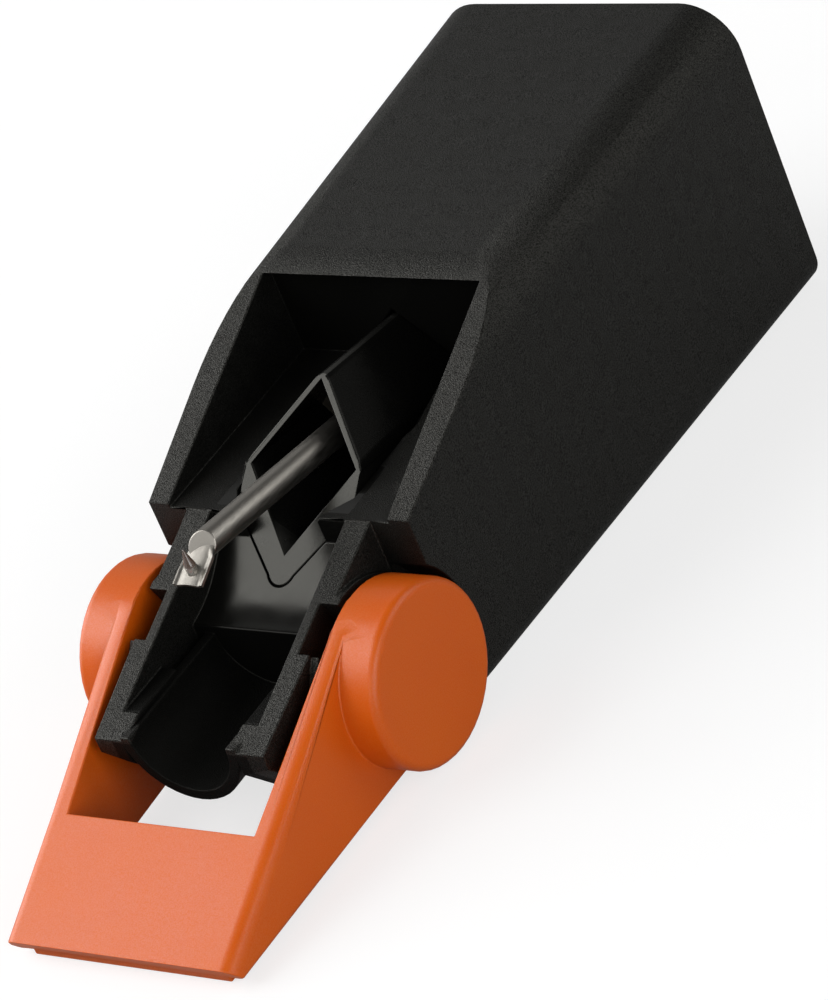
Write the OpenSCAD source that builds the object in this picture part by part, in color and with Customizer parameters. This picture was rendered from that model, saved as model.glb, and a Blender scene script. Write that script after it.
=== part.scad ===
// Turntable stylus with a flip guard, standing record side up.
// X runs across the stylus, Y from the guard's tip to the back of the housing, Z up.
// The origin is the middle of the housing's flat bottom face.
// Places along Y are measured from the housing's front face, with minus Y in front of it.

/* [Housing] */
// Length of the housing, front face to back edge
body_l = 14.7; // [13:0.1:18]
// Width of the housing at its front face
front_w = 6.8; // [6.6:0.1:8]
// Width of the housing at its back edge
back_w = 7.86; // [7.2:0.02:9]
// Height that the top face would have at the front face
front_h = 6.9; // [6.6:0.1:7.6]
// Height of the housing at its back edge
back_h = 7.38; // [7:0.02:9]
// Radius of the long top edges
top_r = 1.2; // [0.6:0.05:1.4]
// Radius of the long bottom edges
bottom_r = 0.6; // [0.3:0.05:0.9]
// Height of the upright front face, up to the raked rim
face_h = 4.73; // [4.5:0.01:4.9]
// Slope of the raked rim, in degrees above level
rim_slope = 21.8; // [18:0.1:24]
// Width of the window inside the raked rim
window_w = 5.7; // [5.2:0.05:5.9]
// Height of the window recess above its floor
window_h = 2.2; // [1.9:0.05:2.3]
// Depth of the window recess, front face to bulkhead
window_l = 5.5; // [5:0.1:6]
// Step from the foot of the rim down to the window's floor
sill = 0.1; // [0.05:0.01:0.2]
// Thickness of the bulkhead between the window and the cartridge socket
bulkhead_t = 0.8; // [0.6:0.1:1.2]
// Wall of the cartridge socket
socket_wall = 0.65; // [0.5:0.05:0.9]
// Depth of the core that lightens the block under the window, measured from the socket
core_l = 4.6; // [3:0.1:5]
// Width of that core
core_w = 4.6; // [3.5:0.1:5]
// Height of that core
core_h = 1.5; // [1:0.1:1.7]
// Height of the core's floor
core_z = 0.7; // [0.6:0.05:0.9]

/* [Snout] */
// Length of the snout in front of the housing's front face
snout_l = 5.2; // [5:0.05:5.5]
// Step from a boss in to the cheek beside it
boss_step = 0.07; // [0.03:0.01:0.15]
// Amount by which each cheek closes in towards the snout's front end
cheek_close = 0.2; // [0:0.01:0.3]
// Clear width between the rails
rail_gap = 3.5; // [3.3:0.05:3.6]
// Slope of the rails' top faces, in degrees
rail_slope = 19.7; // [18:0.1:21]
// Clear width between the hooks at the front ends of the rails
hook_gap = 2.7; // [2.5:0.05:2.8]
// Length of the hooks
hook_l = 0.65; // [0.5:0.05:0.8]
// Length of the level shelf behind each hook
shelf_l = 1.45; // [1:0.05:1.6]
// Step from a hook's back edge down to its shelf
shelf_step = 0.04; // [0.02:0.01:0.1]
// Height of the snout's upright front edge, at the outer corners
lip_h = 0.36; // [0.3:0.02:0.5]
// Fall of the cheeks' underside towards the keel, in degrees
chin_fall = 10.2; // [0:0.1:12]
// Slope of the cheeks' underside behind the front edge, in degrees
chin_slope = 51; // [45:1:55]
// Height of the cheeks' lower edge
cheek_z = 0.7; // [0.4:0.05:1]
// Radius of the half-round keel
keel_r = 1.5; // [1.4:0.02:1.55]
// Height of the keel's centre line
keel_z = 2.86; // [2.7:0.02:2.95]
// Wall of the keel
keel_wall = 0.25; // [0.2:0.01:0.4]
// Length of the open pocket between the rails
pocket_l = 3.37; // [3.2:0.01:3.5]
// Radius of the bend at the foot of the ramp
ramp_r = 2.6; // [2:0.1:3]
// Slope of the ramp at its front edge, in degrees
ramp_end_slope = 8; // [5:1:12]

/* [Guard] */
// Distance of the hinge line in front of the front face
hinge_y = 1.57; // [1.4:0.01:1.7]
// Height of the hinge line
hinge_z = 2.04; // [2.03:0.01:2.2]
// Radius of the guard's discs
disc_r = 1.99; // [1.9:0.01:2]
// Width over the bosses that the discs turn against
boss_w = 4.94; // [4.9:0.02:5.2]
// Gap between a disc and its boss
disc_gap = 0.19; // [0.1:0.01:0.25]
// Thickness of each disc
disc_t = 1.24; // [1.1:0.02:1.3]
// Radius of the discs' outer edges
disc_edge_r = 0.2; // [0.05:0.01:0.3]
// Step from the outer face of a disc in to its arm
arm_step = 0.9; // [0.8:0.02:1]
// Amount by which each arm's outer face closes in towards the front edge
arm_close_out = 0.02; // [0:0.01:0.1]
// Amount by which each arm's inner face closes in towards the front plate
arm_close_in = 0.24; // [0.1:0.01:0.3]
// Distance of the guard's front edge from the hinge line
guard_l = 7.53; // [7.4:0.01:7.6]
// Slope of the arms' top edges, in degrees
arm_slope = 25.9; // [25:0.1:26]
// Distance of the front plate's back edge from the hinge line
plate_y = 4.94; // [4.8:0.01:5.2]
// Distance by which the guard's front face leans back towards its foot
front_lean = 0.31; // [0.2:0.01:0.4]
// Height of the arms' lower edges over the lowest point of the discs
arm_lift = 0.06; // [0.02:0.01:0.2]
// Height of the arms' lower front corners over the lowest point of the discs
toe_lift = 0.09; // [0.05:0.01:0.15]
// Thickness of the front plate
plate_t = 0.5; // [0.35:0.05:0.6]
// Length of the lip under the plate's front edge
lip_l = 0.35; // [0.3:0.01:0.4]
// Reach of the lip below the lowest point of the discs
lip_step = 0.04; // [0.02:0.01:0.05]
// Distance of the lip's ends from the arms' outer faces
lip_short = 0.42; // [0.3:0.02:0.6]
// Radius of the hinge pins
pin_r = 0.37; // [0.3:0.01:0.4]
// Radial running clearance of the hinge pins
pin_clear = 0.03; // [0.02:0.01:0.06]
// Depth of the channels down which the pins snap into the bosses
channel_d = 0.47; // [0.4:0.01:0.5]
// Depth of the pin holes below the channels
hole_d = 0.14; // [0.1:0.01:0.16]
// Gap round a disc where the housing makes way for it
disc_relief = 0.2; // [0.12:0.01:0.3]

/* [Stylus] */
// Side of the square carrier tube
tube_side = 2.18; // [2.1:0.01:2.25]
// Wall of the carrier tube
tube_wall = 0.12; // [0.1:0.01:0.16]
// Height at which the tube's centre line crosses the front face
tube_z = 5.13; // [5.05:0.01:5.2]
// Angle by which the tube falls towards the back, in degrees
tube_tilt = 9.5; // [8:0.1:11]
// Distance from the front face to the back end of the tube, along the tube
tube_end = 10; // [9.8:0.1:13]
// Slope of the tube's oblique mouth, in degrees
mouth_slope = 36.8; // [35:0.1:38]
// Height at which the plane of the mouth crosses the front face
mouth_z = 4; // [3.9:0.01:4.05]
// Gap round the carrier where it seats in the housing
seat_gap = 0.03; // [0.02:0.01:0.05]
// Outer radius of the cantilever tube
cantilever_r = 0.3; // [0.27:0.01:0.32]
// Wall of the cantilever tube
cantilever_wall = 0.06; // [0.04:0.01:0.08]
// Height of the cantilever's centre line over the tube's
cantilever_rise = 0.12; // [0:0.01:0.14]
// Reach of the round cantilever in front of the front face, along the tube
cantilever_l = 2.35; // [2.2:0.05:2.5]
// Length of the flattened tongue at the cantilever's end
spade_l = 0.88; // [0.8:0.02:1]
// Width of the tongue
spade_w = 0.74; // [0.6:0.02:0.8]
// Thickness of the tongue
spade_t = 0.08; // [0.06:0.01:0.1]
// Radius of the tongue's crown
spade_r = 0.9; // [0.7:0.05:1.2]
// Slope of the tongue, down to the front, in degrees
spade_slope = 23; // [15:1:30]
// Distance of the tip along the tongue
tip_y = 0.55; // [0.45:0.01:0.6]
// Radius of the shank that carries the diamond
shank_r = 0.13; // [0.1:0.01:0.15]
// Height of the shank over the channel's floor
shank_h = 0.12; // [0.1:0.01:0.25]
// Height of the diamond's cone
diamond_h = 0.42; // [0.3:0.01:0.45]
// Angle by which the tip leans forward from upright, in degrees
tip_lean = 1; // [0:1:10]
// Radius of the diamond's point
point_r = 0.02; // [0.015:0.005:0.03]

/* [Suspension] */
// Distance of the pivot behind the front face, along the tube
pivot_s = 4.3; // [4:0.05:4.6]
// Thickness of the rubber damper
damper_t = 0.8; // [0.6:0.05:1]
// Radius of the damper
damper_r = 0.75; // [0.65:0.01:0.8]
// Outer radius of the collar that joins the cantilever to the magnet
collar_r = 0.4; // [0.38:0.01:0.45]
// Length of that collar
collar_l = 1.8; // [1.6:0.05:2]
// Reach of the collar behind the pivot
collar_back = 0.8; // [0.7:0.05:1]
// Running gap between the collar and the damper
damper_gap = 0.03; // [0.02:0.01:0.05]
// Side of the square magnet
magnet_side = 1.1; // [1:0.02:1.2]
// Length of the magnet
magnet_l = 2.2; // [1.8:0.1:2.6]
// Length of the holder round the damper
holder_l = 1; // [0.9:0.05:1.1]
// Lip at the back of the holder that the damper rests on
holder_lip = 0.1; // [0.06:0.01:0.15]
// Radius of the room round the tie wire in the magnet
wire_room = 0.2; // [0.18:0.01:0.25]
// Radius of the tie wire
wire_r = 0.06; // [0.05:0.01:0.08]
// Length of the plug that anchors the tie wire
plug_l = 1.6; // [1.2:0.1:2]
// Gap between the magnet and the plug
plug_gap = 0.5; // [0.4:0.05:1]

/* [Hidden] */
$fn = 64;
// Overlap that makes cuts clear the faces that they leave
eps = 0.02;
// Size of cuts that reach past everything
far = 40;

floor_z = face_h - sill;
roof_z = floor_z + window_h;
socket_y = window_l + bulkhead_t;
rim_rise = tan(rim_slope);
rail_drop = tan(rail_slope);
boss_r = disc_r;
disc_in = boss_w / 2 + disc_gap;
disc_out = disc_in + disc_t;
arm_out = disc_out - arm_step;
snout_back_w = boss_w - 2 * boss_step;
snout_front_w = snout_back_w - 2 * cheek_close;
channel_x = boss_w / 2 - channel_d;
pin_x = channel_x - hole_d + 0.03;
end_s = -cantilever_l - pivot_s;
plug_s = collar_back + magnet_l + plug_gap;
tube_half = tube_side / 2;
bore_side = tube_side - 2 * tube_wall;
mouth_rise = tan(mouth_slope);

// Height of the rails' top faces at a distance y from the front face
function rail_top(y) = floor_z + rail_drop * y;

// Height of the plane of the tube's mouth at y
function mouth_top(y) = mouth_z + mouth_rise * y;

// Points of an arc round c, from angle a0 to a1
function arc(c, r, a0, a1, n = 12) =
    [for (i = [0:n]) let (a = a0 + (a1 - a0) * i / n) [c[0] + r * cos(a), c[1] + r * sin(a)]];

// Outline of the housing across X and Z, drawn in by inset
function section_points(w, h, inset) =
    let (x = w / 2 - inset, rt = top_r - inset / 2, rb = max(bottom_r - inset / 2, 0.1))
    concat(arc([x - rb, inset + rb], rb, -90, 0),
           arc([x - rt, h - inset - rt], rt, 0, 90),
           arc([-x + rt, h - inset - rt], rt, 90, 180),
           arc([-x + rb, inset + rb], rb, 180, 270));

// Moves what is placed from the front face into the part's own frame
module from_front() {
    translate([0, -body_l / 2, 0]) children();
}

// Extrudes an outline drawn over Y and Z by w across X, about the middle
module across(w) {
    rotate([90, 0, 90]) linear_extrude(w, center = true) children();
}

// Repeats what is on the right-hand side on the left
module both_sides() {
    children();
    mirror([1, 0, 0]) children();
}

// Places what is drawn along Y on the carrier tube's centre line
module on_tube() {
    translate([0, 0, tube_z]) rotate([-tube_tilt, 0, 0]) children();
}

// Square bar on its corner along Y, from y0 to y1
module diamond_bar(side, y0, y1) {
    translate([0, y0, 0]) rotate([0, 45, 0]) translate([-side / 2, 0, -side / 2]) cube([side, y1 - y0, side]);
}

// Round bar along Y, from y0 to y1
module bar(r, y0, y1) {
    translate([0, y0, 0]) rotate([-90, 0, 0]) cylinder(r = r, h = y1 - y0);
}

// Round bar along X, from x0 to x1
module cross_bar(r, x0, x1) {
    translate([x0, 0, 0]) rotate([0, 90, 0]) cylinder(r = r, h = x1 - x0);
}

// Thin slice of the housing at y
module slice(y, w, h, inset) {
    translate([0, y, 0]) rotate([90, 0, 0]) linear_extrude(eps / 2) polygon(section_points(w, h, inset));
}

// Tapered block of the housing between y0 and y1, drawn in by inset
module body_block(y0, y1, inset) {
    w0 = front_w + (back_w - front_w) * y0 / body_l;
    w1 = front_w + (back_w - front_w) * y1 / body_l;
    h0 = front_h + (back_h - front_h) * y0 / body_l;
    h1 = front_h + (back_h - front_h) * y1 / body_l;
    hull() {
        slice(y0, w0, h0, inset);
        slice(y1, w1, h1, inset);
    }
}

// Everything above the raked rim
module rake() {
    across(far) polygon([[-far, face_h], [0, face_h], [far, face_h + far * rim_rise], [-far, far]]);
}

// Window recess behind the rim
module window() {
    translate([-window_w / 2, -eps, floor_z]) cube([window_w, window_l + eps, window_h]);
}

// Cartridge socket, open at the back, with the core under the window
module socket() {
    body_block(socket_y, body_l + 1, socket_wall);
    translate([-core_w / 2, socket_y - core_l, core_z]) cube([core_w, core_l + 1, core_h]);
}

// Side outline of the ramp: level floor, oblique plane, bend and front edge
function ramp_points(y_back, drop) =
    let (y0 = ramp_y0(), z0 = mouth_top(y0),
         c = [y0 - ramp_r * sin(mouth_slope), z0 + ramp_r * cos(mouth_slope)])
    concat([[y_back, mouth_top(y_back) - drop]],
           arc([c[0], c[1] - drop], ramp_r, mouth_slope - 90, ramp_end_slope - 90));

// Place where the oblique plane runs into the ramp's bend
function ramp_y0() = -(snout_l - pocket_l) + ramp_r * (sin(mouth_slope) - sin(ramp_end_slope));

// Half-round keel with its trough
module keel() {
    difference() {
        translate([0, 0, keel_z]) bar(keel_r, -snout_l, 1);
        translate([-far / 2, -far / 2, keel_z]) cube([far, far, far]);
    }
}

// Block between the rails that carries the ramp
module ramp_block() {
    intersection() {
        across(rail_gap + eps) polygon(concat([[1, keel_z - 0.6], [1, floor_z], [(floor_z - mouth_z) / mouth_rise, floor_z]],
            [for (p = ramp_points((floor_z - mouth_z) / mouth_rise - 0.001, 0)) p],
            [[-(snout_l - pocket_l), keel_z - 0.6]]));
        translate([-far / 2, -snout_l, 0]) cube([far, far, floor_z]);
    }
}

// Cheeks and rails, as one block between the snout's two sides
module snout_block() {
    lip_z = rail_top(-snout_l) - lip_h;
    difference() {
        intersection() {
            across(far) polygon([[1, floor_z], [0, floor_z], [-snout_l, rail_top(-snout_l)], [-snout_l, cheek_z],
                [0, cheek_z], [0, 0.2], [1, 0.2]]);
            linear_extrude(far) polygon([[-snout_front_w / 2, -snout_l], [snout_front_w / 2, -snout_l],
                [snout_back_w / 2, 0], [snout_back_w / 2, 1], [-snout_back_w / 2, 1], [-snout_back_w / 2, 0]]);
        }
        // Sloping underside of the cheeks
        both_sides() translate([snout_front_w / 2, -snout_l, lip_z]) rotate([-chin_slope, 0, 0])
            rotate([0, -chin_fall, 0]) translate([-snout_front_w / 2, -far / 2, -far]) cube([far, far, far]);
    }
}

// Room between the hooks, the shelves, the rails and the cheeks
module snout_room() {
    shelf_y = -snout_l + hook_l;
    shelf_z = rail_top(shelf_y) - shelf_step;
    pocket_y = -(snout_l - pocket_l);
    // Between the hooks
    translate([-hook_gap / 2, -snout_l - 1, keel_z]) cube([hook_gap, pocket_l + 1, far]);
    // Over the shelves
    translate([-rail_gap / 2, shelf_y, shelf_z]) cube([rail_gap, pocket_y - shelf_y + eps, far]);
    // Behind the shelves
    translate([-rail_gap / 2, shelf_y + shelf_l, keel_z - 0.6])
        cube([rail_gap, pocket_y - shelf_y - shelf_l + eps, far]);
    // Over the ramp
    translate([-rail_gap / 2, pocket_y, keel_z - 0.6]) cube([rail_gap, -pocket_y + 2, far]);
    // Under the keel, between the cheeks
    translate([-keel_r + 0.06, -snout_l - 1, -1]) cube([2 * keel_r - 0.12, snout_l + 1, keel_z + 1]);
    // Trough of the keel
    translate([0, 0, keel_z]) bar(keel_r - keel_wall, -snout_l - 1, pocket_y);
}

// Channel down which a hinge pin snaps into its hole, on the right-hand side
module pin_channel() {
    w = pin_r + pin_clear - 0.02;
    x0 = channel_x;
    translate([x0, -hinge_y, hinge_z]) rotate([rail_slope, 0, 0]) {
        translate([0, -w, 0]) cube([far, 2 * w, far]);
        translate([far / 2, 0, 0]) across(far)
            polygon([[-w, 1.1], [-w - 0.42, 1.62], [-w - 0.42, 3], [0, 3], [0, 1.1]]);
    }
    translate([0, -hinge_y, hinge_z]) cross_bar(pin_r + pin_clear, x0 - hole_d, far);
}

// Bosses that the guard's discs turn against
module bosses() {
    translate([0, -hinge_y, hinge_z]) cross_bar(boss_r, -boss_w / 2, boss_w / 2);
}

// Snout with its rails, hooks, shelves, keel and ramp
module snout() {
    difference() {
        union() {
            snout_block();
            intersection() {
                bosses();
                across(far) polygon([[0.5, 0], [0.5, floor_z], [0, floor_z], [-snout_l, rail_top(-snout_l)], [-snout_l, 0]]);
            }
        }
        snout_room();
        both_sides() pin_channel();
    }
    difference() {
        keel();
        translate([0, 0, keel_z]) bar(keel_r - keel_wall, -snout_l - 1, -(snout_l - pocket_l));
    }
    ramp_block();
}

// Outline of the carrier's tongue from above, grown by g
function tongue_points(g) =
    let (r = 0.36 + g, tip = -0.8)
    concat([[1.5 + g, 3], [1.5 + g, 0.72], [1.05 + g, 0.09]],
           arc([0, tip + 0.36], r, -28, -152, 16),
           [[-1.05 - g, 0.09], [-1.5 - g, 0.72], [-1.5 - g, 3]]);

// Tongue of the carrier, under the mouth and let into the ramp
module tongue(g, drop, depth) {
    intersection() {
        linear_extrude(far) polygon(tongue_points(g));
        across(far) polygon(concat(ramp_points(3, drop),
            [[-(snout_l - pocket_l), keel_z - 1], [-(snout_l - pocket_l), depth], [3, depth]]));
        on_tube() translate([-far / 2, -far / 2, -far]) cube([far, far, far]);
    }
}

// Everything in front of and above the tube's mouth
module mouth_cut() {
    across(far) polygon([[-far, mouth_top(-far)], [far, mouth_top(far)], [-far, mouth_top(far)]]);
}

module housing() {
    color("#232323") from_front() difference() {
        union() {
            difference() {
                body_block(0, body_l, 0);
                rake();
                window();
                // Way for the guard's discs
                both_sides() translate([0, -hinge_y, hinge_z])
                    cross_bar(disc_r + disc_relief, boss_w / 2, far);
            }
            snout();
        }
        socket();
        on_tube() diamond_bar(tube_side + 2 * seat_gap, -3, far);
        tongue(seat_gap, -1, floor_z - 1.6);
    }
}

module stylus_carrier() {
    color("#1b1b1b") from_front() difference() {
        union() {
            difference() {
                on_tube() diamond_bar(tube_side, -4, tube_end);
                mouth_cut();
            }
            tongue(0, 0, floor_z - 1.6 + seat_gap);
        }
        on_tube() diamond_bar(bore_side, -5, tube_end + 1);
    }
}

// Height of the guard's top face at a distance y from the hinge line, about that line
function guard_top(y) = (disc_r - sin(arm_slope) * y) / cos(arm_slope);

// Outline of the guard's arms about the hinge line, seen from the side
module arm_outline() {
    circle(disc_r);
    polygon([[-disc_r * sin(arm_slope), disc_r * cos(arm_slope)], [0, 0], [0, arm_lift - disc_r],
             [front_lean - guard_l, toe_lift - disc_r], [-guard_l, guard_top(guard_l)]]);
}

// Outline of the front plate about the hinge line
module plate_outline() {
    fall = plate_t / cos(arm_slope);
    polygon([[-plate_y, guard_top(plate_y)], [-plate_y, guard_top(plate_y) - fall],
             [front_lean - guard_l + 0.1, guard_top(guard_l - front_lean - 0.1) - fall],
             [front_lean - guard_l, toe_lift - disc_r], [-guard_l, guard_top(guard_l)]]);
}

// Outline of the lip under the plate's front edge, about the hinge line
module lip_outline() {
    lip_y = guard_l - front_lean - lip_l;
    polygon([[-lip_y, guard_top(lip_y) - 0.1], [-lip_y, -disc_r - lip_step], [front_lean - guard_l, -disc_r - lip_step],
             [front_lean - guard_l, toe_lift - disc_r + 0.1]]);
}

// Disc with a rounded outer edge, about X, on the right-hand side
module disc() {
    rotate([0, 90, 0]) rotate_extrude() polygon(concat([[0, disc_in], [disc_r, disc_in]],
        arc([disc_r - disc_edge_r, disc_out - disc_edge_r], disc_edge_r, 0, 90, 4), [[0, disc_out]]));
}

module finger_guard() {
    color("#c9541f") from_front() translate([0, -hinge_y, hinge_z]) {
        both_sides() {
            disc();
            cross_bar(pin_r, pin_x, disc_in + 0.1);
            intersection() {
                across(far) arm_outline();
                translate([0, 0, -far / 2]) linear_extrude(far) polygon([
                    [disc_in, disc_r], [arm_out, disc_r], [arm_out, -plate_y], [arm_out - arm_close_out, -guard_l],
                    [disc_in - arm_close_in, -guard_l], [disc_in - arm_close_in, -plate_y], [disc_in, 0]]);
            }
        }
        intersection() {
            across(far) plate_outline();
            translate([0, -guard_l / 2, 0]) cube([2 * (disc_in - arm_close_in) + 0.1, guard_l, far], center = true);
        }
        across(2 * (arm_out - arm_close_out - lip_short)) lip_outline();
    }
}

// Places what is drawn along Y on the lever, from its pivot
module on_lever() {
    on_tube() translate([0, pivot_s, cantilever_rise]) children();
}

// Places what is drawn along Y on the flattened tongue at the cantilever's end
module on_spade() {
    on_lever() translate([0, end_s, 0]) rotate([tube_tilt + spade_slope, 0, 0]) children();
}

module cantilever() {
    color("#c4c2bd") from_front() difference() {
        union() {
            difference() {
                on_lever() bar(cantilever_r, end_s, -0.15);
                on_lever() bar(cantilever_r - cantilever_wall, end_s + cantilever_wall, 1);
            }
            intersection() {
                on_spade() translate([0, 0, -spade_r]) difference() {
                    bar(spade_r, -spade_l, 0.1);
                    bar(spade_r - spade_t, -spade_l - 1, 1);
                }
                on_spade() translate([-spade_w / 2, -spade_l - 1, -spade_w / 2]) cube([spade_w, far, spade_w]);
            }
        }
        on_tip() bar_up(shank_r, -1, 1);
    }
}

// Places what is drawn along Z on the tip, from the top of the tongue
module on_tip() {
    on_spade() translate([0, -tip_y, 0]) rotate([tip_lean - spade_slope, 0, 0]) children();
}

// Round bar along Z
module bar_up(r, z0, z1) {
    translate([0, 0, z0]) cylinder(r = r, h = z1 - z0);
}

module tip_shank() {
    color("#7d7a75") from_front() on_tip() bar_up(shank_r, -shank_h, shank_h);
}

module diamond_tip() {
    color("#4a3b2c") from_front() on_tip() translate([0, 0, shank_h])
        rotate_extrude() polygon(concat([[0, 0], [shank_r - 0.01, 0], [shank_r - 0.01, 0.04]],
            arc([0, diamond_h - point_r], point_r, 20, 90, 4)));
}

module armature_collar() {
    color("#8d8a84") from_front() on_lever() difference() {
        bar(collar_r, -collar_l + collar_back, collar_back);
        bar(cantilever_r, -collar_l, collar_back + 1);
    }
}

module magnet() {
    color("#55585c") from_front() on_lever() difference() {
        diamond_bar(magnet_side, collar_back, collar_back + magnet_l);
        bar(wire_room, 0, magnet_l + 2);
    }
}

module damper() {
    color("#161616") from_front() on_lever() difference() {
        bar(damper_r, -damper_t / 2, damper_t / 2);
        bar(collar_r + damper_gap, -damper_t, damper_t);
    }
}

module damper_holder() {
    color("#6b6558") from_front() difference() {
        on_tube() diamond_bar(bore_side, pivot_s - damper_t / 2, pivot_s - damper_t / 2 + holder_l);
        on_lever() bar(damper_r, -damper_t, damper_t / 2);
        on_lever() bar(damper_r - holder_lip, -damper_t, holder_l + 1);
    }
}

module tie_wire() {
    color("#b9b7b2") from_front() on_lever() {
        bar(wire_r, 0, plug_s + plug_l);
        sphere(2 * wire_r);
    }
}

module tie_wire_plug() {
    color("#a58a4e") from_front() difference() {
        on_tube() diamond_bar(bore_side, pivot_s + plug_s, pivot_s + plug_s + plug_l);
        on_lever() bar(wire_r, plug_s - 1, plug_s + plug_l + 1);
    }
}

housing();
stylus_carrier();
finger_guard();
cantilever();
tip_shank();
diamond_tip();
armature_collar();
magnet();
damper();
damper_holder();
tie_wire();
tie_wire_plug();
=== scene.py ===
"""Turntable stylus with a flip guard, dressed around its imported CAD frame.

The frame holds every solid. This script takes copies of the three mouldings and rounds their edges
as a mould does, finishes the end of the cantilever, gives each piece the surface of its real
material, and sets up the studio. Every length in the dataclasses is in millimetres, in the part's
own frame: X across, Y to the back, Z up.
"""
import logging
import math
from dataclasses import dataclass
from enum import Enum
from typing import Callable, Optional

import bmesh
import bpy
from mathutils import Matrix, Vector


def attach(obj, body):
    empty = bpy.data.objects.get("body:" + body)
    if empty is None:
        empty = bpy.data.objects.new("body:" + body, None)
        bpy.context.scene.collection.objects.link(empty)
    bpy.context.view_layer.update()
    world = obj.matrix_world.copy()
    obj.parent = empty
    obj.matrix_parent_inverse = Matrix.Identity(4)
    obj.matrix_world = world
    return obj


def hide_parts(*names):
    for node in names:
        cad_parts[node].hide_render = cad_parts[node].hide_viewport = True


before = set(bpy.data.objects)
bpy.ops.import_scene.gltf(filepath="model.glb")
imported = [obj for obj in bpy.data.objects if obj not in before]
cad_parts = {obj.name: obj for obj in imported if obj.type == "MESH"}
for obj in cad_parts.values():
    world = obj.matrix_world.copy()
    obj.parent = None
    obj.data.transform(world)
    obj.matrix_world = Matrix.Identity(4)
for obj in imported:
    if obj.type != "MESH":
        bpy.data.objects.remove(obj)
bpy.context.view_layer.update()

MM = 0.001
LOG = logging.getLogger("turntable_stylus")

# Points nearer than this are joined, and faces that bend less than this are one flat face.
MERGE_MM = 0.0005
FLAT_DEG = 0.1
SAME_PLANE = 0.999995
# Faces that meet at more than this keep a crisp edge, and CAD edges that do are rounded.
SHARP_DEG = 50.0
EDGE_SEGMENTS = 2
# Noise stays mostly within these values, which are spread over a finish's range.
SOFT_NOISE = {"From Min": 0.3, "From Max": 0.7}
GRAIN_NOISE = {"From Min": 0.35, "From Max": 0.65}


class Body(str, Enum):
    """Rigid bodies that the pieces ride on."""

    SHELL = "shell"
    GUARD = "guard"
    LEVER = "lever"


class Slot(str, Enum):
    """The record's material slots of the pieces that take a CAD node's place."""

    HOUSING = "black_housing"
    CARRIER = "black_carrier"
    GUARD = "orange_guard"
    ALUMINIUM = "aluminium_tube"


def srgb(code: str) -> tuple[float, float, float, float]:
    """Turns an sRGB hex value into a linear colour.

    Args:
        code: The colour as #rrggbb.

    Returns:
        The linear red, green and blue, and an alpha of one.
    """
    parts = [int(code[i:i + 2], 16) / 255 for i in (1, 3, 5)]
    r, g, b = (c / 12.92 if c <= 0.04045 else ((c + 0.055) / 1.055) ** 2.4 for c in parts)
    return (r, g, b, 1.0)


def add_node(tree: bpy.types.NodeTree, kind: str, settings: Optional[dict] = None,
             links: Optional[dict] = None) -> bpy.types.Node:
    """Adds one shader node with its settings and links.

    Args:
        tree: The node tree.
        kind: The node's type name.
        settings: Attributes, or values of input sockets where the node has no such attribute.
        links: Input socket to the output socket that feeds it.

    Returns:
        The new node.
    """
    node = tree.nodes.new(kind)
    for key, value in (settings or {}).items():
        if isinstance(key, str) and hasattr(node, key):
            setattr(node, key, value)
        else:
            node.inputs[key].default_value = value
    for key, source in (links or {}).items():
        tree.links.new(source, node.inputs[key])
    return node


def new_material(name: str) -> tuple[bpy.types.Material, bpy.types.NodeTree,
                                     bpy.types.NodeSocket]:
    """Starts a node material.

    Args:
        name: The material's name.

    Returns:
        The material, its node tree and its object coordinates in metres.
    """
    material = bpy.data.materials.new(name)
    material.use_nodes = True
    tree = material.node_tree
    tree.nodes.clear()
    coords = add_node(tree, "ShaderNodeTexCoord")
    return material, tree, coords.outputs["Object"]


def close_material(tree: bpy.types.NodeTree, shader: bpy.types.Node) -> None:
    """Joins a shader to the material's output."""
    add_node(tree, "ShaderNodeOutputMaterial", links={"Surface": shader.outputs[0]})


@dataclass(frozen=True)
class Zone:
    """A box in which a moulding has another surface or painted shade, with soft sides.

    The height is measured over a plane that rises by `rise` for each unit of Y.
    """

    x: tuple[float, float]
    y: tuple[float, float]
    z: tuple[float, float]
    rise: float = 0.0
    soft: float = 0.03

    def mask(self, tree: bpy.types.NodeTree,
             coords: bpy.types.NodeSocket) -> bpy.types.NodeSocket:
        """Builds the mask.

        Args:
            tree: The node tree.
            coords: Object coordinates in metres.

        Returns:
            One inside the box and zero outside it.
        """
        parts = add_node(tree, "ShaderNodeSeparateXYZ", links={0: coords})
        lean = add_node(tree, "ShaderNodeMath", {"operation": "MULTIPLY", 1: -self.rise},
                        {0: parts.outputs[1]})
        height = add_node(tree, "ShaderNodeMath", {"operation": "ADD"},
                          {0: parts.outputs[2], 1: lean.outputs[0]})
        result = None
        for span, source in ((self.x, parts.outputs[0]), (self.y, parts.outputs[1]),
                             (self.z, height.outputs[0])):
            half = (span[1] - span[0]) / 2
            off = add_node(tree, "ShaderNodeMath",
                           {"operation": "SUBTRACT", 1: (span[0] + half) * MM}, {0: source})
            size = add_node(tree, "ShaderNodeMath", {"operation": "ABSOLUTE"}, {0: off.outputs[0]})
            edge = add_node(tree, "ShaderNodeMapRange",
                            {"From Min": (half + self.soft / 2) * MM,
                             "From Max": (half - self.soft / 2) * MM},
                            {"Value": size.outputs[0]})
            if result is None:
                result = edge
            else:
                result = add_node(tree, "ShaderNodeMath", {"operation": "MULTIPLY"},
                                  {0: result.outputs[0], 1: edge.outputs[0]})
        return result.outputs[0]


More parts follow.
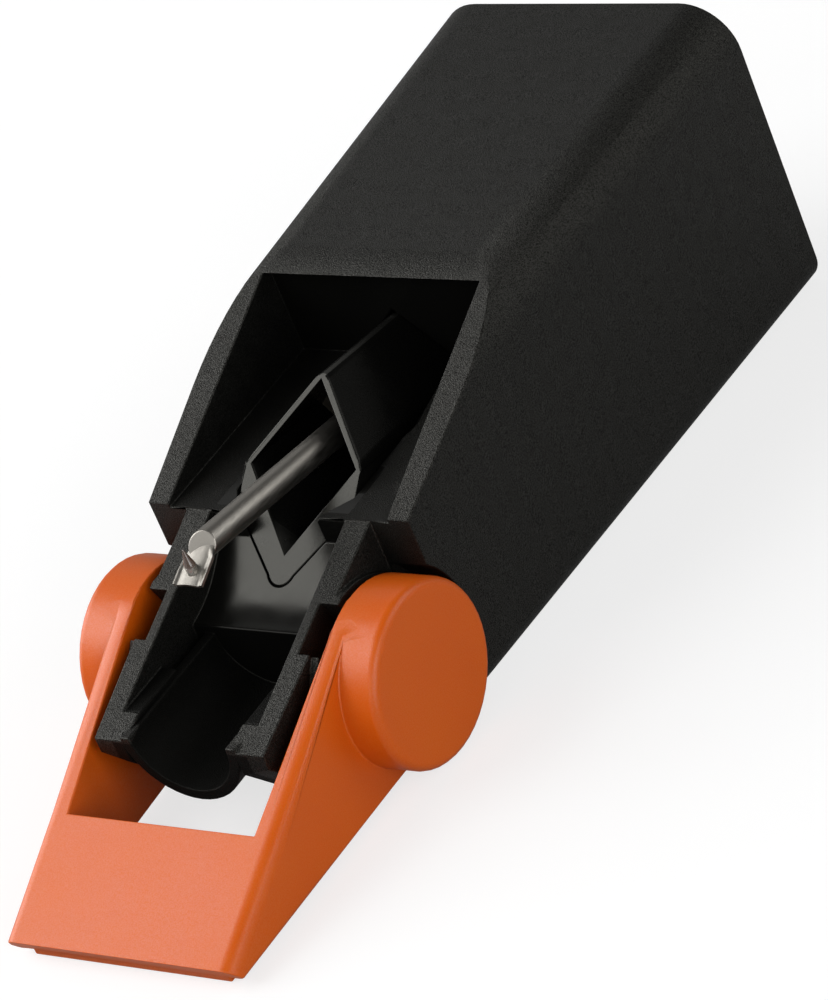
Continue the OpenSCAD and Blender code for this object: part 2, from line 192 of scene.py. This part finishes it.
@dataclass(frozen=True)
class BlackAbs:
    """Black ABS from a spark-eroded mould, polished where the mould's core was, with painted shade
    in given hollows.
    """

    # The eye sees a near-black satin with a fine pale speckle on the eroded faces and a clear soft
    # gleam on the polished ones. Down in the hollows the gloss is turned down as painted shade, so
    # they read plain black.
    name: str = "black_abs_moulded"
    dark: str = "#050504"
    light: str = "#10100f"
    sheen: str = "#fffdf2"
    ior: float = 1.54
    # The real grain is nearer 0.015 mm, which is too fine to show, so it is drawn coarser.
    grain_mm: float = 0.026
    grain_depth_mm: float = 0.017
    speckle: float = 0.75
    cloud_mm: float = 0.5
    wave_depth_mm: float = 0.004
    wave_strength: float = 0.3
    roughness: tuple[float, float] = (0.38, 0.48)
    gloss: float = 0.3
    polished_roughness: tuple[float, float] = (0.17, 0.25)
    polished_depth: float = 0.04
    polished: tuple[Zone, ...] = ()
    # Painted shade: boxes in which the gloss is turned down to a low value, so the hollows read
    # black.
    painted_shade: tuple[Zone, ...] = ()
    painted_shade_gloss: float = 0.07

    def cover(self, tree: bpy.types.NodeTree, coords: bpy.types.NodeSocket,
              boxes: tuple[Zone, ...]) -> Optional[bpy.types.NodeSocket]:
        """Joins the masks of some zones.

        Args:
            tree: The node tree.
            coords: Object coordinates in metres.
            boxes: The zones.

        Returns:
            The joined mask, or None where there is no zone.
        """
        result = None
        for box in boxes:
            mask = box.mask(tree, coords)
            if result is None:
                result = mask
            else:
                result = add_node(tree, "ShaderNodeMath", {"operation": "MAXIMUM"},
                                  {0: result, 1: mask}).outputs[0]
        return result

    def material(self) -> bpy.types.Material:
        """Builds the material."""
        mat, tree, coords = new_material(self.name)
        grain = add_node(tree, "ShaderNodeTexNoise",
                         {"Scale": 1 / (self.grain_mm * MM), "Detail": 1.0, "Roughness": 0.8},
                         {"Vector": coords})
        cloud = add_node(tree, "ShaderNodeTexNoise",
                         {"Scale": 1 / (self.cloud_mm * MM), "Detail": 3.0}, {"Vector": coords})
        tone = add_node(tree, "ShaderNodeMix",
                        {"data_type": "RGBA", 6: srgb(self.dark), 7: srgb(self.light)},
                        {"Factor": grain.outputs["Fac"]})
        rough = add_node(tree, "ShaderNodeMapRange",
                         {**SOFT_NOISE, "To Min": self.roughness[0],
                          "To Max": self.roughness[1]}, {"Value": cloud.outputs["Fac"]})
        gloss = add_node(tree, "ShaderNodeMapRange",
                         {**GRAIN_NOISE, "To Min": self.gloss * (1 - self.speckle),
                          "To Max": self.gloss * (1 + self.speckle)},
                         {"Value": grain.outputs["Fac"]})
        bump = add_node(tree, "ShaderNodeBump",
                        {"Strength": 1.0, "Distance": self.grain_depth_mm * MM},
                        {"Height": grain.outputs["Fac"]})
        polished = self.cover(tree, coords, self.polished)
        if polished:
            fine = add_node(tree, "ShaderNodeMapRange",
                            {**SOFT_NOISE, "To Min": self.polished_roughness[0],
                             "To Max": self.polished_roughness[1]},
                            {"Value": cloud.outputs["Fac"]})
            rough = add_node(tree, "ShaderNodeMix", {"data_type": "FLOAT"},
                             {0: polished, 2: rough.outputs[0], 3: fine.outputs[0]})
            gloss = add_node(tree, "ShaderNodeMix", {"data_type": "FLOAT", 3: self.gloss},
                             {0: polished, 2: gloss.outputs[0]})
            depth = add_node(tree, "ShaderNodeMapRange",
                             {"To Min": 1.0, "To Max": self.polished_depth}, {"Value": polished})
            tree.links.new(depth.outputs[0], bump.inputs["Strength"])
        # Painted shade: in the shaded hollows the gloss falls to a low value.
        painted_shade = self.cover(tree, coords, self.painted_shade)
        if painted_shade:
            gloss = add_node(tree, "ShaderNodeMix", {"data_type": "FLOAT", 3: self.painted_shade_gloss},
                             {0: painted_shade, 2: gloss.outputs[0]})
        wave = add_node(tree, "ShaderNodeBump",
                        {"Strength": self.wave_strength, "Distance": self.wave_depth_mm * MM},
                        {"Height": cloud.outputs["Fac"], "Normal": bump.outputs[0]})
        shader = add_node(tree, "ShaderNodeBsdfPrincipled",
                          {"IOR": self.ior, "Specular Tint": srgb(self.sheen)},
                          {"Base Color": tone.outputs[2], "Roughness": rough.outputs[0],
                           "Normal": wave.outputs[0], "Specular IOR Level": gloss.outputs[0]})
        close_material(tree, shader)
        return mat


@dataclass(frozen=True)
class OrangePolystyrene:
    """Orange polystyrene, moulded."""

    # The eye sees a satin orange that turns pale towards the light, slightly warm in its shadows
    # because light goes into it, with faint clouds from handling and a very fine speckle.
    name: str = "orange_polystyrene_moulded"
    colour: str = "#da5b06"
    pale: str = "#e0650c"
    ior: float = 1.5
    # Handling marks, and a mould grain that is drawn coarser than the real 0.015 mm to show.
    cloud_mm: float = 1.8
    grain_mm: float = 0.03
    grain_depth_mm: float = 0.004
    grain_strength: float = 0.6
    roughness: tuple[float, float] = (0.32, 0.43)
    gloss: float = 0.48
    speckle: float = 0.35
    glow: float = 0.12
    glow_mm: float = 0.4
    glow_reach: tuple[float, float, float] = (1.0, 0.35, 0.1)

    def material(self) -> bpy.types.Material:
        """Builds the material."""
        mat, tree, coords = new_material(self.name)
        cloud = add_node(tree, "ShaderNodeTexNoise",
                         {"Scale": 1 / (self.cloud_mm * MM), "Detail": 4.0}, {"Vector": coords})
        grain = add_node(tree, "ShaderNodeTexNoise",
                         {"Scale": 1 / (self.grain_mm * MM), "Detail": 2.0}, {"Vector": coords})
        tone = add_node(tree, "ShaderNodeMix",
                        {"data_type": "RGBA", 6: srgb(self.colour), 7: srgb(self.pale)},
                        {"Factor": cloud.outputs["Fac"]})
        rough = add_node(tree, "ShaderNodeMapRange",
                         {**SOFT_NOISE, "To Min": self.roughness[0],
                          "To Max": self.roughness[1]}, {"Value": cloud.outputs["Fac"]})
        gloss = add_node(tree, "ShaderNodeMapRange",
                         {**GRAIN_NOISE, "To Min": self.gloss * (1 - self.speckle),
                          "To Max": self.gloss * (1 + self.speckle)},
                         {"Value": grain.outputs["Fac"]})
        bump = add_node(tree, "ShaderNodeBump",
                        {"Strength": self.grain_strength, "Distance": self.grain_depth_mm * MM},
                        {"Height": grain.outputs["Fac"]})
        shader = add_node(tree, "ShaderNodeBsdfPrincipled",
                          {"IOR": self.ior, "Subsurface Weight": self.glow,
                           "Subsurface Scale": self.glow_mm * MM,
                           "Subsurface Radius": self.glow_reach},
                          {"Base Color": tone.outputs[2], "Roughness": rough.outputs[0],
                           "Normal": bump.outputs[0], "Specular IOR Level": gloss.outputs[0]})
        close_material(tree, shader)
        return mat


@dataclass(frozen=True)
class DrawnMetal:
    """Drawn, turned or plated metal."""

    # The eye sees a satin metal whose gleam is drawn out along fine lines. The real lines are a
    # few thousandths of a millimetre apart, and are drawn coarser so that they show.
    name: str
    colour: str
    roughness: tuple[float, float] = (0.225, 0.39)
    line_mm: float = 0.02
    line_stretch: tuple[float, float, float] = (1.0, 0.04, 1.0)
    line_depth_mm: float = 0.001
    line_strength: float = 0.15

    def material(self) -> bpy.types.Material:
        """Builds the material."""
        mat, tree, coords = new_material(self.name)
        stretch = add_node(tree, "ShaderNodeMapping",
                           {"vector_type": "POINT", "Scale": self.line_stretch},
                           {"Vector": coords})
        lines = add_node(tree, "ShaderNodeTexNoise",
                         {"Scale": 1 / (self.line_mm * MM), "Detail": 2.0},
                         {"Vector": stretch.outputs[0]})
        rough = add_node(tree, "ShaderNodeMapRange",
                         {**SOFT_NOISE, "To Min": self.roughness[0],
                          "To Max": self.roughness[1]}, {"Value": lines.outputs["Fac"]})
        bump = add_node(tree, "ShaderNodeBump",
                        {"Strength": self.line_strength, "Distance": self.line_depth_mm * MM},
                        {"Height": lines.outputs["Fac"]})
        shader = add_node(tree, "ShaderNodeBsdfPrincipled",
                          {"Base Color": srgb(self.colour), "Metallic": 1.0},
                          {"Roughness": rough.outputs[0], "Normal": bump.outputs[0]})
        close_material(tree, shader)
        return mat


@dataclass(frozen=True)
class MouldedMatte:
    """Moulded rubber or plain plastic."""

    # The eye sees an even, dull piece with a faint mottling.
    name: str
    dark: str
    light: str
    roughness: float
    mottle_mm: float = 0.12
    mottle_depth_mm: float = 0.004
    mottle_strength: float = 0.3

    def material(self) -> bpy.types.Material:
        """Builds the material."""
        mat, tree, coords = new_material(self.name)
        cloud = add_node(tree, "ShaderNodeTexNoise",
                         {"Scale": 1 / (self.mottle_mm * MM), "Detail": 3.0}, {"Vector": coords})
        tone = add_node(tree, "ShaderNodeMix",
                        {"data_type": "RGBA", 6: srgb(self.dark), 7: srgb(self.light)},
                        {"Factor": cloud.outputs["Fac"]})
        bump = add_node(tree, "ShaderNodeBump",
                        {"Strength": self.mottle_strength,
                         "Distance": self.mottle_depth_mm * MM},
                        {"Height": cloud.outputs["Fac"]})
        shader = add_node(tree, "ShaderNodeBsdfPrincipled", {"Roughness": self.roughness},
                          {"Base Color": tone.outputs[2], "Normal": bump.outputs[0]})
        close_material(tree, shader)
        return mat


@dataclass(frozen=True)
class Diamond:
    """Ground diamond."""

    # The eye sees a dark amber point with a small hard gleam.
    name: str = "diamond_ground_tip"
    colour: str = "#38261a"
    pale: str = "#5c4330"
    roughness: float = 0.16
    ior: float = 2.42
    facet_mm: float = 0.04

    def material(self) -> bpy.types.Material:
        """Builds the material."""
        mat, tree, coords = new_material(self.name)
        grain = add_node(tree, "ShaderNodeTexNoise",
                         {"Scale": 1 / (self.facet_mm * MM), "Detail": 2.0}, {"Vector": coords})
        tone = add_node(tree, "ShaderNodeMix",
                        {"data_type": "RGBA", 6: srgb(self.colour), 7: srgb(self.pale)},
                        {"Factor": grain.outputs["Fac"]})
        shader = add_node(tree, "ShaderNodeBsdfPrincipled",
                          {"Roughness": self.roughness, "IOR": self.ior},
                          {"Base Color": tone.outputs[2]})
        close_material(tree, shader)
        return mat


@dataclass(frozen=True)
class Fillet:
    """A rounding of its own for the edges that a test picks."""

    picks: Callable[[Vector, Vector], bool]
    radius: float
    segments: int = 12


def cad_copy(node: str) -> bmesh.types.BMesh:
    """Copies a CAD node's mesh, joins its loose triangles and lays its flat faces out afresh.

    Args:
        node: The CAD node's name.

    Returns:
        The copy.
    """
    bm = bmesh.new()
    bm.from_mesh(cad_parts[node].data)
    bmesh.ops.remove_doubles(bm, verts=bm.verts, dist=MERGE_MM * MM)
    bmesh.ops.dissolve_limit(bm, angle_limit=math.radians(FLAT_DEG), verts=bm.verts,
                             edges=bm.edges)
    return bm


def flat_groups(bm: bmesh.types.BMesh) -> tuple[dict[int, int], dict[int, float]]:
    """Finds the flat faces that the mesh's triangles make up.

    Args:
        bm: The mesh, with its faces' indices up to date.

    Returns:
        The group of each face, and the area of each group.
    """
    group_of, area = {}, {}
    for face in bm.faces:
        if face.index in group_of:
            continue
        group, queue, total = face.index, [face], 0.0
        group_of[face.index] = group
        while queue:
            one = queue.pop()
            total += one.calc_area()
            for edge in one.edges:
                for other in edge.link_faces:
                    if other.index not in group_of and other.normal.dot(face.normal) > SAME_PLANE:
                        group_of[other.index] = group
                        queue.append(other)
        area[group] = total
    return group_of, area


def corner_normals(bm: bmesh.types.BMesh) -> list[Vector]:
    """Works out shading normals that keep flat faces flat beside their roundings.

    Args:
        bm: The mesh, with its faces' indices up to date.

    Returns:
        One normal for each face corner, in the order of the faces.
    """
    group_of, area = flat_groups(bm)
    limit = math.cos(math.radians(SHARP_DEG))
    normals = []
    for face in bm.faces:
        for loop in face.loops:
            total, seen = face.normal * area[group_of[face.index]], {group_of[face.index]}
            for other in loop.vert.link_faces:
                if group_of[other.index] not in seen and other.normal.dot(face.normal) > limit:
                    seen.add(group_of[other.index])
                    total = total + other.normal * area[group_of[other.index]]
            normals.append(total.normalized())
    return normals


def finished(bm: bmesh.types.BMesh, name: str, node: str) -> bpy.types.Object:
    """Turns a mesh into the piece that takes a CAD node's place.

    Args:
        bm: The mesh, which is freed.
        name: The new piece's name.
        node: The CAD node's name.

    Returns:
        The new piece.
    """
    bmesh.ops.recalc_face_normals(bm, faces=bm.faces)
    bm.faces.index_update()
    bm.normal_update()
    normals = corner_normals(bm)
    mesh = bpy.data.meshes.new(name)
    bm.to_mesh(mesh)
    bm.free()
    piece = bpy.data.objects.new(name, mesh)
    bpy.context.scene.collection.objects.link(piece)
    mesh.shade_smooth()
    mesh.normals_split_custom_set(normals)
    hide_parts(node)
    return piece


def is_sharp(edge: bmesh.types.BMEdge) -> bool:
    """Tells whether an edge is to be rounded."""
    return len(edge.link_faces) == 2 and edge.calc_face_angle(0.0) > math.radians(SHARP_DEG)


def softened_copy(node: str, width: float, fillets: tuple[Fillet, ...] = ()) -> bpy.types.Object:
    """Copies a CAD node and rounds its edges as a mould does.

    Args:
        node: The CAD node's name.
        width: The rounding's width, in mm.
        fillets: Larger roundings, which are made first, while flat faces are still whole.

    Returns:
        The new piece.
    """
    bm = cad_copy(node)
    for fillet in fillets:
        picked = [e for e in bm.edges
                  if is_sharp(e) and fillet.picks(e.verts[0].co / MM, e.verts[1].co / MM)]
        LOG.info("%s: %d edges with a %.2f mm fillet", node, len(picked), fillet.radius)
        bmesh.ops.bevel(bm, geom=picked, offset=fillet.radius * MM, offset_type="OFFSET",
                        affect="EDGES", segments=fillet.segments, profile=0.5, material=-1,
                        clamp_overlap=False)
    bmesh.ops.triangulate(bm, faces=bm.faces)
    sharp = [e for e in bm.edges if is_sharp(e)]
    LOG.info("%s: %d sharp edges of %d", node, len(sharp), len(bm.edges))
    bmesh.ops.bevel(bm, geom=sharp, offset=width * MM, offset_type="OFFSET", affect="EDGES",
                    segments=EDGE_SEGMENTS, profile=0.5, material=-1, clamp_overlap=False)
    return finished(bm, node + "_moulding", node)


def dress(obj: bpy.types.Object, material: bpy.types.Material) -> None:
    """Gives a piece its one material."""
    obj.data.materials.clear()
    obj.data.materials.append(material)


def hand_over(piece: bpy.types.Object, material: bpy.types.Material, body: Body) -> None:
    """Dresses a new piece and attaches it to the body that it rides on.

    Args:
        piece: The new piece.
        material: Its material.
        body: The body that it rides on.
    """
    dress(piece, material)
    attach(piece, body.value)
    LOG.info("built %s with %d faces", piece.name, len(piece.data.polygons))


@dataclass
class Housing:
    """The housing with its window, snout, rails, keel and socket."""

    edge: float = 0.035
    # Where the mould was polished, and where the gloss is turned down as painted shade: the ramp
    # in front of the tube is polished, the round trough of the keel has painted shade, and the
    # recess behind the window has both.
    ramp: Zone = Zone(x=(-1.74, 1.74), y=(-9.2, -5.6), z=(0.5, 7.2), rise=0.358)
    trough: Zone = Zone(x=(-1.74, 1.74), y=(-13.5, -9.13), z=(0.5, 7.2), rise=0.358)
    recess: Zone = Zone(x=(-2.84, 2.84), y=(-7.3, -1.0), z=(4.64, 6.82))

    def build(self) -> None:
        """Builds and dresses the housing."""
        finish = BlackAbs(polished=(self.ramp, self.recess), painted_shade=(self.recess, self.trough))
        piece = softened_copy("housing", self.edge)
        hand_over(piece, finish.material(), Body.SHELL)


@dataclass
class Carrier:
    """The square tube on its corner, with the tongue that is let into the ramp."""

    edge: float = 0.02
    ridge_fillet: float = 0.26
    # The tube's axis: its height at the housing's front face, and its fall towards the back.
    tube_height: float = 5.13
    tube_fall: float = 0.1673
    front_face: float = -7.35
    # A point is on an outer ridge when it is farther than this from the axis.
    ridge_out: float = 1.45
    ridge_up: float = 1.48
    ridge_run: float = 2.0
    # Behind the mouth the gloss is turned down as painted shade, so only the mouth's rim and the
    # tongue catch the light.
    behind_mouth: Zone = Zone(x=(-2.0, 2.0), y=(-7.0, 3.0), z=(0.0, 9.45), rise=0.748)

    def on_ridge(self, point: Vector) -> bool:
        """Tells whether a point is on an outer ridge of the tube."""
        axis = self.tube_height - (point.y - self.front_face) * self.tube_fall
        return abs(point.x) > self.ridge_out or abs(point.z - axis) > self.ridge_up

    def is_ridge(self, a: Vector, b: Vector) -> bool:
        """Picks the outer ridges, which run from front to back."""
        return self.on_ridge(a) and self.on_ridge(b) and abs(a.y - b.y) > self.ridge_run

    def build(self) -> None:
        """Builds and dresses the carrier."""
        finish = BlackAbs("black_abs_polished", roughness=(0.2, 0.3), grain_depth_mm=0.001,
                          speckle=0.08, painted_shade=(self.behind_mouth,))
        piece = softened_copy("stylus_carrier", self.edge,
                              (Fillet(self.is_ridge, self.ridge_fillet),))
        hand_over(piece, finish.material(), Body.SHELL)


@dataclass
class Guard:
    """The orange guard: two discs, two arms and the front plate."""

    edge: float = 0.04
    top_fillet: float = 0.34
    foot_fillet: float = 0.18
    arm_face: float = 3.0
    arm_slack: float = 0.1
    arm_run: float = 1.0
    foot_height: float = 0.4

    def along_arm(self, a: Vector, b: Vector) -> bool:
        """Picks the long edges of the arms' outer faces."""
        on_face = all(abs(abs(p.x) - self.arm_face) < self.arm_slack for p in (a, b))
        return on_face and abs(a.y - b.y) > self.arm_run

    def arm_top(self, a: Vector, b: Vector) -> bool:
        """Picks the upper of those edges."""
        return self.along_arm(a, b) and min(a.z, b.z) > self.foot_height

    def arm_foot(self, a: Vector, b: Vector) -> bool:
        """Picks the lower of those edges."""
        return self.along_arm(a, b) and max(a.z, b.z) < self.foot_height

    def build(self) -> None:
        """Builds and dresses the guard."""
        piece = softened_copy("finger_guard", self.edge,
                              (Fillet(self.arm_top, self.top_fillet),
                               Fillet(self.arm_foot, self.foot_fillet)))
        hand_over(piece, OrangePolystyrene().material(), Body.GUARD)


def ease(value: float) -> float:
    """Runs smoothly from nought to one."""
    value = min(max(value, 0.0), 1.0)
    return value * value * (3 - 2 * value)


@dataclass
class Cantilever:
    """Drawn tube whose front end is cut away and pressed flat into a tongue with curled sides."""

    radius: float = 0.3
    front_reach: float = 2.35
    back_reach: float = 4.15
    origin: tuple[float, float, float] = (0.0, -7.3302, 5.2484)
    tilt_deg: float = 9.5
    cut: tuple[float, float, float] = (0.24, -0.8, 0.55)
    cut_spare: float = 0.4
    cut_edge: float = 0.03
    around: int = 64
    tongue_slope_deg: float = 23.0
    tongue_length: float = 0.88
    tongue_root: float = 0.25
    tongue_width: float = 0.76
    tongue_thickness: float = 0.07
    tongue_across: int = 32
    tongue_steps: int = 24
    # The tongue starts as wide as fits in the tube, and has its full width after this run.
    root_half: float = 0.27
    widen_run: float = 0.3
    widen_start: float = 0.2
    # It is crowned to this radius. Its right side stands up and its left side curls up, from
    # these shares of its half width on.
    crown: float = 0.9
    flange: float = 0.09
    flange_from: float = 0.62
    flange_run: float = 0.2
    flange_start: float = -0.02
    curl: float = 0.07
    curl_from: float = 0.7
    curl_run: float = 0.6

    def tilt(self) -> Matrix:
        """Turns the level Y axis into the tube's axis."""
        return Matrix.Rotation(math.radians(-self.tilt_deg), 4, "X")

    def tube_end(self) -> Vector:
        """Gives the middle of the tube's front end, in metres."""
        return Vector(self.origin) * MM + self.tilt() @ Vector((0, -self.front_reach * MM, 0))

    def tube(self, bm: bmesh.types.BMesh) -> None:
        """Adds the tube with its slanting end."""
        length = self.front_reach + self.back_reach + self.cut_spare
        middle = (self.back_reach - self.front_reach - self.cut_spare) / 2
        place = (Matrix.Translation(Vector(self.origin) * MM) @ self.tilt()
                 @ Matrix.Translation((0, middle * MM, 0))
                 @ Matrix.Rotation(math.radians(90), 4, "X"))
        made = bmesh.ops.create_cone(bm, cap_ends=True, segments=self.around,
                                     radius1=self.radius * MM, radius2=self.radius * MM,
                                     depth=length * MM, matrix=place)
        parts = list({g for v in made["verts"] for g in (v, *v.link_edges, *v.link_faces)})
        cut = bmesh.ops.bisect_plane(bm, geom=parts, plane_co=self.tube_end(),
                                     plane_no=Vector(self.cut), clear_outer=True)
        rim = [g for g in cut["geom_cut"] if isinstance(g, bmesh.types.BMEdge)]
        filled = bmesh.ops.contextual_create(bm, geom=rim)["faces"]
        bmesh.ops.bevel(bm, geom=list(filled[0].edges), offset=self.cut_edge * MM,
                        offset_type="OFFSET", affect="EDGES", segments=3, profile=0.5,
                        material=-1, clamp_overlap=True)

    def pressed(self, u: float, d: float) -> tuple[float, float]:
        """Shapes the tongue's upper face.

        Args:
            u: The place across, from minus one at the left to one at the right.
            d: The distance from the tube's end, in mm.

        Returns:
            How far the point is to the right and how high it stands, in mm.
        """
        full = self.tongue_width / 2
        widened = ease(d / self.widen_run + self.widen_start)
        x = u * (self.root_half + (full - self.root_half) * widened)
        raised = (ease((u - self.flange_from) / (1 - self.flange_from))
                  * ease((d - self.flange_start) / self.flange_run))
        curled = ease((-u - self.curl_from) / (1 - self.curl_from)) * ease(d / self.curl_run)
        return x, self.flange * raised + self.curl * curled - x * x / (2 * self.crown)

    def tongue(self, bm: bmesh.types.BMesh) -> None:
        """Adds the pressed tongue: a grid that is bent to shape and given its thickness."""
        slope = math.radians(self.tongue_slope_deg)
        along = Vector((0, -math.cos(slope), -math.sin(slope)))
        up = Vector((0, -math.sin(slope), math.cos(slope)))
        end = self.tube_end()
        sheet = bmesh.ops.create_grid(bm, x_segments=self.tongue_across,
                                      y_segments=self.tongue_steps, size=1.0)["verts"]
        for vert in sheet:
            d = -self.tongue_root + (self.tongue_length + self.tongue_root) * (vert.co.y + 1) / 2
            x, lift = self.pressed(vert.co.x, d)
            vert.co = end + (along * d + up * lift + Vector((x, 0, 0))) * MM
        faces = list({face for vert in sheet for face in vert.link_faces})
        made = bmesh.ops.extrude_face_region(bm, geom=faces)["geom"]
        lower = [g for g in made if isinstance(g, bmesh.types.BMVert)]
        bmesh.ops.translate(bm, vec=-up * self.tongue_thickness * MM, verts=lower)

    def build(self, material: bpy.types.Material) -> None:
        """Builds and dresses the cantilever."""
        bm = bmesh.new()
        self.tube(bm)
        self.tongue(bm)
        piece = finished(bm, "cantilever_drawn", "cantilever")
        hand_over(piece, material, Body.LEVER)


@dataclass
class Suspension:
    """Cantilever and tip, and the pieces inside the tube, which keep their CAD shapes."""

    steel: DrawnMetal = DrawnMetal("spring_steel_drawn", "#b4b1ab")
    aluminium: DrawnMetal = DrawnMetal("aluminium_tube_drawn", "#9a968f", (0.285, 0.494))
    nickel: DrawnMetal = DrawnMetal("nickel_plated_magnet", "#a7a6a3")
    brass: DrawnMetal = DrawnMetal("brass_turned", "#b8924a")
    rubber: MouldedMatte = MouldedMatte("butyl_rubber_moulded", "#121212", "#1c1c1c", 0.7)
    acetal: MouldedMatte = MouldedMatte("acetal_moulded", "#3a362e", "#48433a", 0.5)
    diamond: Diamond = Diamond()

    def build(self) -> None:
        """Builds the cantilever and dresses the CAD nodes."""
        steel = self.steel.material()
        aluminium = self.aluminium.material()
        Cantilever().build(aluminium)
        finishes = {
            "armature_collar": aluminium,
            "tip_shank": steel,
            "tie_wire": steel,
            "diamond_tip": self.diamond.material(),
            "magnet": self.nickel.material(),
            "damper": self.rubber.material(),
            "damper_holder": self.acetal.material(),
            "tie_wire_plug": self.brass.material(),
        }
        for node, material in finishes.items():
            dress(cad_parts[node], material)
            LOG.info("dressed %s", node)


@dataclass(frozen=True)
class Softbox:
    """A square soft lamp that looks at the part."""

    name: str
    direction: tuple[float, float, float]
    watts: float
    side: float = 150.0
    distance: float = 200.0
    aim: tuple[float, float, float] = (0.0, -2.0, 3.0)

    def build(self) -> None:
        """Places the lamp."""
        data = bpy.data.lights.new(self.name, "AREA")
        data.shape = "SQUARE"
        data.size = self.side * MM
        data.energy = self.watts
        lamp = bpy.data.objects.new(self.name, data)
        away = Vector(self.direction).normalized()
        place = Vector(self.aim) + away * self.distance
        turn = away.to_track_quat("Z", "Y").to_matrix().to_4x4()
        lamp.matrix_world = Matrix.Translation(place * MM) @ turn
        bpy.context.scene.collection.objects.link(lamp)


@dataclass
class Studio:
    """Pale floor, soft lamps and the camera at the photograph's viewing angle."""

    eye: tuple[float, float, float] = (64.60, -69.62, 58.77)
    right: tuple[float, float, float] = (0.8016, 0.4956, -0.3345)
    down: tuple[float, float, float] = (0.0556, -0.6188, -0.7836)
    forward: tuple[float, float, float] = (-0.5953, 0.6095, -0.5235)
    lens: float = 183.36
    sensor: float = 36.0
    clip: tuple[float, float] = (5.0, 10000.0)
    white: str = "#ffffff"
    fill: float = 0.02
    # How much of the white background gloss and glass show. At full strength the dark plastic
    # would reflect so much white that it turned grey.
    gloss_share: float = 0.12
    paper: str = "#a0a0a0"
    paper_glow: float = 0.72
    floor_half: float = 70.0
    floor_drop: float = 0.01
    softboxes: tuple[Softbox, ...] = (
        Softbox("key_softbox", (-0.6, -0.4, 0.7), 0.245),
        Softbox("left_softbox", (-0.95, -0.1, 0.3), 0.24),
        Softbox("back_softbox", (-0.6, 0.65, 0.48), 0.021),
        Softbox("right_softbox", (0.85, -0.45, 0.35), 0.178),
        Softbox("right_back_softbox", (0.7, 0.5, 0.4), 0.1),
        Softbox("front_softbox", (0.05, -0.9, 0.4), 0.07),
    )

    def camera(self) -> None:
        """Places the camera."""
        data = bpy.data.cameras.new("camera")
        data.sensor_fit = "AUTO"
        data.sensor_width = self.sensor
        data.lens = self.lens
        data.clip_start, data.clip_end = (reach * MM for reach in self.clip)
        cam = bpy.data.objects.new("camera", data)
        x, y, z = Vector(self.right), -Vector(self.down), -Vector(self.forward)
        basis = Matrix((x, y, z)).transposed().to_4x4()
        cam.matrix_world = Matrix.Translation(Vector(self.eye) * MM) @ basis
        bpy.context.scene.collection.objects.link(cam)
        bpy.context.scene.camera = cam

    def seen(self, tree: bpy.types.NodeTree) -> bpy.types.NodeSocket:
        """Tells how much of the white background a ray sees.

        Args:
            tree: The node tree.

        Returns:
            One for camera rays, a share for gloss and glass, and nought for the light that falls
            on the part.
        """
        path = add_node(tree, "ShaderNodeLightPath")
        both = add_node(tree, "ShaderNodeMath", {"operation": "MAXIMUM"},
                        {0: path.outputs["Is Glossy Ray"], 1: path.outputs["Is Transmission Ray"]})
        share = add_node(tree, "ShaderNodeMath", {"operation": "MULTIPLY", 1: self.gloss_share},
                         {0: both.outputs[0]})
        return add_node(tree, "ShaderNodeMath", {"operation": "MAXIMUM"},
                        {0: path.outputs["Is Camera Ray"], 1: share.outputs[0]}).outputs[0]

    def world(self) -> None:
        """White surroundings for the camera and for gloss, and a dim fill for the rest."""
        world = bpy.data.worlds.new("studio")
        bpy.context.scene.world = world
        world.use_nodes = True
        tree = world.node_tree
        tree.nodes.clear()
        fill = add_node(tree, "ShaderNodeBackground",
                        {"Color": srgb(self.white), "Strength": self.fill})
        white = add_node(tree, "ShaderNodeBackground",
                         {"Color": srgb(self.white), "Strength": 1.0})
        mix = add_node(tree, "ShaderNodeMixShader",
                       links={0: self.seen(tree), 1: fill.outputs[0], 2: white.outputs[0]})
        add_node(tree, "ShaderNodeOutputWorld", links={"Surface": mix.outputs[0]})

    def floor_material(self) -> bpy.types.Material:
        """Pale paper, white to the camera where no shadow falls, and clear from below.

        Returns:
            The material.
        """
        mat, tree, _ = new_material("floor_paper")
        paper = add_node(tree, "ShaderNodeBsdfDiffuse", {"Color": srgb(self.paper)})
        glow = add_node(tree, "ShaderNodeEmission",
                        {"Color": srgb(self.white), "Strength": self.paper_glow})
        both = add_node(tree, "ShaderNodeAddShader",
                        links={0: paper.outputs[0], 1: glow.outputs[0]})
        top = add_node(tree, "ShaderNodeMixShader",
                       links={0: self.seen(tree), 1: paper.outputs[0], 2: both.outputs[0]})
        # Clear from below, so that the underside can be looked at.
        side = add_node(tree, "ShaderNodeNewGeometry")
        clear = add_node(tree, "ShaderNodeBsdfTransparent")
        mix = add_node(tree, "ShaderNodeMixShader",
                       links={0: side.outputs["Backfacing"], 1: top.outputs[0],
                              2: clear.outputs[0]})
        close_material(tree, mix)
        return mat

    def floor(self) -> None:
        """Lays the floor, a hair under the part so that the two don't share a plane."""
        bm = bmesh.new()
        bmesh.ops.create_grid(bm, x_segments=1, y_segments=1, size=self.floor_half * MM,
                              matrix=Matrix.Translation((0, 0, -self.floor_drop * MM)))
        mesh = bpy.data.meshes.new("floor")
        bm.to_mesh(mesh)
        bm.free()
        floor = bpy.data.objects.new("floor", mesh)
        bpy.context.scene.collection.objects.link(floor)
        dress(floor, self.floor_material())

    def build(self) -> None:
        """Builds the studio."""
        self.camera()
        self.world()
        self.floor()
        for softbox in self.softboxes:
            softbox.build()
        bpy.context.scene.view_settings.view_transform = "Standard"
        LOG.info("studio ready")


def main() -> None:
    """Builds the studio and the part."""
    logging.basicConfig(level=logging.INFO, format="%(message)s")
    for group in (Studio(), Housing(), Carrier(), Guard(), Suspension()):
        group.build()


if __name__ == "__main__":
    main()
